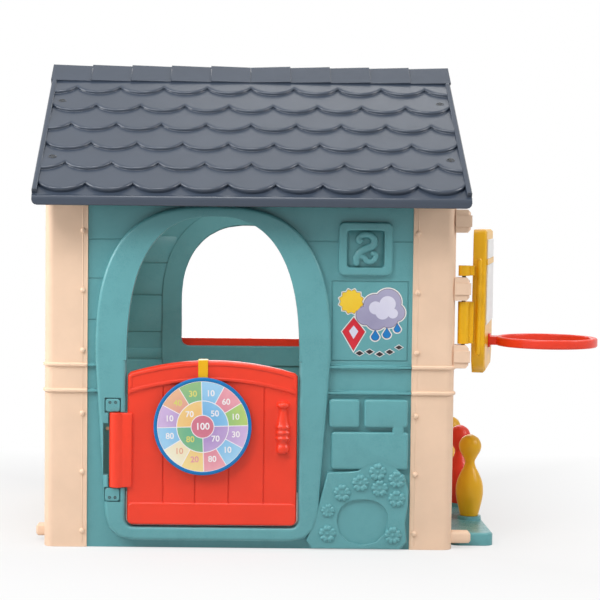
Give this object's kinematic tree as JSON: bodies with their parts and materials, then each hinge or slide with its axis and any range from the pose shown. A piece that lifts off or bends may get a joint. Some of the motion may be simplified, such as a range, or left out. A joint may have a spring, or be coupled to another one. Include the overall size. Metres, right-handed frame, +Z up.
{
  "type": "activity playhouse",
  "caption": "Children's plastic playhouse with a half door, tiled gable roof, arched windows, hoop board on a side hinge, hanging target and skittles on a side tray.",
  "frame": {"origin": "centre of the underside of the whole object's box, on the floor", "axes": "+X along the ridge towards the hoop side, +Y from the door side to the back, +Z up"},
  "size_m": [1.5222, 1.06, 1.2886],
  "materials": {
    "teal_plastic": "satin moulded plastic",
    "beige_plastic": "satin moulded plastic",
    "slate_plastic": "satin moulded plastic",
    "red_plastic": "satin moulded plastic",
    "yellow_plastic": "satin moulded plastic",
    "blue_plastic": "satin moulded plastic",
    "white_plastic": "satin moulded plastic",
    "target_print": "printed plastic, pale coloured sectors with plain numbers",
    "steel": "dark zinc"
  },
  "bodies": {
    "house": {"front_wall": "teal_plastic", "back_wall": "teal_plastic", "left_wall": "beige_plastic", "right_wall": "beige_plastic", "roof_front": "slate_plastic", "roof_back": "slate_plastic", "hinge_cap_upper": "teal_plastic", "hinge_cap_lower": "teal_plastic", "board_hinge_rod": "steel", "skittle_tray": "teal_plastic", "window_counter": "red_plastic", "roof_screw_1": "steel", "roof_screw_2": "steel", "roof_screw_3": "steel", "roof_screw_4": "steel", "roof_screw_5": "steel", "roof_screw_6": "steel", "roof_screw_7": "steel", "roof_screw_8": "steel", "front_rivet_1": "beige_plastic", "front_rivet_2": "beige_plastic", "front_rivet_3": "beige_plastic", "front_rivet_4": "beige_plastic", "front_rivet_5": "beige_plastic", "front_rivet_6": "beige_plastic", "front_rivet_7": "beige_plastic", "front_rivet_8": "beige_plastic", "front_rivet_9": "beige_plastic", "front_rivet_10": "beige_plastic", "front_rivet_11": "beige_plastic", "front_rivet_12": "beige_plastic", "back_rivet_1": "beige_plastic", "back_rivet_2": "beige_plastic", "back_rivet_3": "beige_plastic", "back_rivet_4": "beige_plastic", "back_rivet_5": "beige_plastic", "back_rivet_6": "beige_plastic", "back_rivet_7": "beige_plastic", "back_rivet_8": "beige_plastic", "back_rivet_9": "beige_plastic", "back_rivet_10": "beige_plastic", "back_rivet_11": "beige_plastic", "back_rivet_12": "beige_plastic", "hinge_cap_upper_screw_1": "steel", "hinge_cap_upper_screw_2": "steel", "hinge_cap_lower_screw_1": "steel", "hinge_cap_lower_screw_2": "steel"},
    "door_leaf": {"door": "red_plastic"},
    "target": {"dart_rim": "blue_plastic", "dart_face": "target_print", "dart_hook": "yellow_plastic"},
    "hoop_board": {"backboard": "yellow_plastic", "backboard_panel_lower": "white_plastic", "backboard_panel_upper": "white_plastic", "hoop_ring": "red_plastic"},
    "front_skittle": {"skittle_1": "yellow_plastic"},
    "middle_skittle": {"skittle_2": "red_plastic"},
    "rear_skittle": {"skittle_3": "yellow_plastic"}
  },
  "joints": [
    {"name": "door_hinge", "type": "hinge", "parent": "house", "child": "door_leaf", "pos_m": [-0.52007, -0.4367, 0.257], "axis": [0, 0, -1], "range_deg": [0, 105]},
    {"name": "target_lift", "type": "slide", "parent": "door_leaf", "child": "target", "axis": [0, 0, 1], "range_m": [0, 0.12]},
    {"name": "board_hinge", "type": "hinge", "parent": "house", "child": "hoop_board", "pos_m": [0.37793, -0.4, 0.6], "axis": [0, 0, -1], "range_deg": [-8, 70]},
    {"name": "front_skittle_lift", "type": "slide", "parent": "house", "child": "front_skittle", "axis": [0, 0, 1], "range_m": [0, 0.15]},
    {"name": "middle_skittle_lift", "type": "slide", "parent": "house", "child": "middle_skittle", "axis": [0, 0, 1], "range_m": [0, 0.15]},
    {"name": "rear_skittle_lift", "type": "slide", "parent": "house", "child": "rear_skittle", "axis": [0, 0, 1], "range_m": [0, 0.15]}
  ]
}
